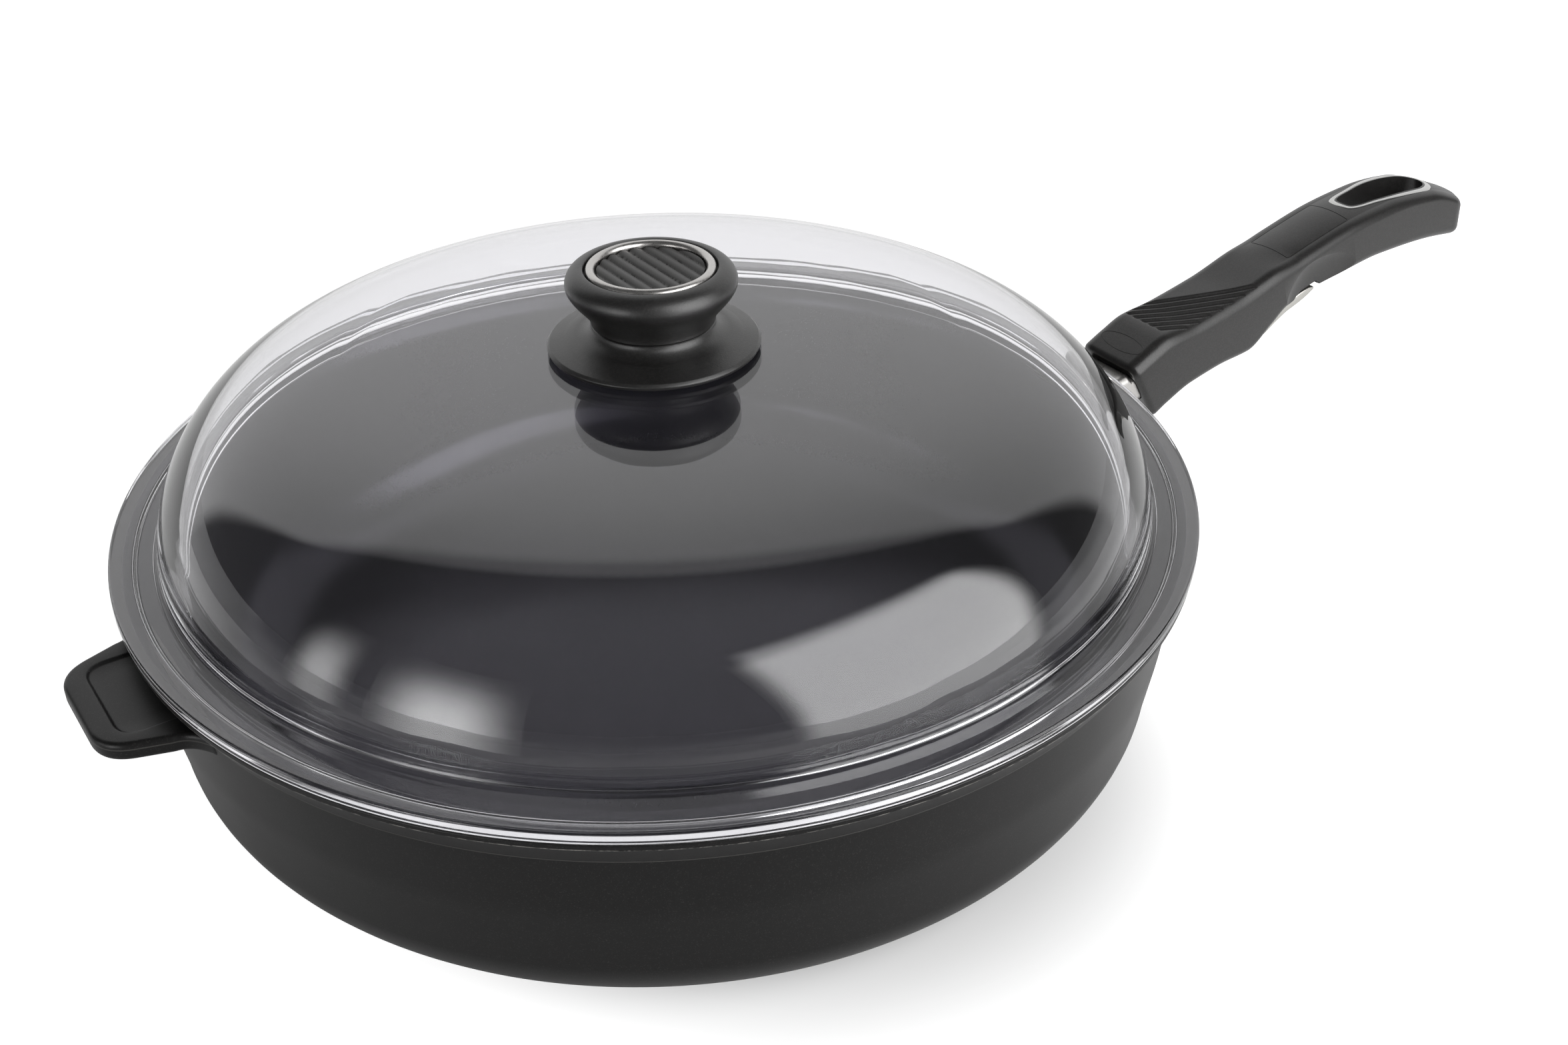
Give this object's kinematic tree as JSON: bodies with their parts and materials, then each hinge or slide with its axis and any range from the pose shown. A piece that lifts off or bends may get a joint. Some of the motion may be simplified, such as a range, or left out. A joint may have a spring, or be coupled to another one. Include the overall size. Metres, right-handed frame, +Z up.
{
  "type": "deep frying pan with lid",
  "caption": "Deep cast frying pan with a side ear, a domed glass lid with a mushroom knob, and a moulded handle that pulls off a steel bracket when its underside lever is released.",
  "frame": {"origin": "centre of the flat base that stands on the hob", "axes": "+Z up, +X from the pan's axis towards the handle, the ear at -X, +Y to the left of the handle seen from the pan"},
  "size_m": [0.5537, 0.328, 0.1485],
  "materials": {
    "cast_coating": "matte non-stick coating on cast aluminium, fine metallic fleck",
    "polished_steel": "polished stainless steel",
    "bright_steel": "bright polished",
    "satin_steel": "satin, turned",
    "pressed_steel": "satin",
    "spring_steel": "rolled",
    "zinc_steel": "zinc plated",
    "grip_moulding": "fine-grained phenolic moulding",
    "knob_moulding": "fine-grained phenolic moulding",
    "insert_moulding": "satin moulding",
    "lid_glass": "clear pressed glass",
    "seal_rubber": "matte silicone",
    "bush_brass": "machined"
  },
  "bodies": {
    "pan": {"pan_body": "cast_coating", "handle_bracket": "polished_steel", "bracket_screw_left": "zinc_steel", "bracket_screw_right": "zinc_steel"},
    "handle": {"handle_grip": "grip_moulding", "hang_ring": "bright_steel", "lever_pin": "pressed_steel", "catch_spring": "spring_steel"},
    "lever": {"release_lever": "pressed_steel"},
    "lid": {"lid_glass": "lid_glass", "knob_seal": "seal_rubber", "knob_base": "knob_moulding", "knob_grip": "knob_moulding", "knob_trim_ring": "satin_steel", "knob_insert": "insert_moulding", "knob_thread_insert": "bush_brass", "knob_lower_seal": "seal_rubber", "knob_washer": "zinc_steel", "knob_screw": "zinc_steel"}
  },
  "joints": [
    {"name": "lid_lift", "type": "slide", "parent": "pan", "child": "lid", "axis": [0, 0, 1], "range_m": [0, 0.12]},
    {"name": "handle_slide", "type": "slide", "parent": "pan", "child": "handle", "axis": [0.9848, 0, 0.1736], "range_m": [0, 0.06], "deforming": ["catch_spring"]},
    {"name": "lever_pull", "type": "hinge", "parent": "handle", "child": "lever", "pos_m": [0.25262, 0, 0.06035], "axis": [0, 1, 0], "range_deg": [0, 22], "stiffness_Nm_per_rad": 0.3, "springref_deg": -11.46, "deforming": ["catch_spring"]}
  ]
}
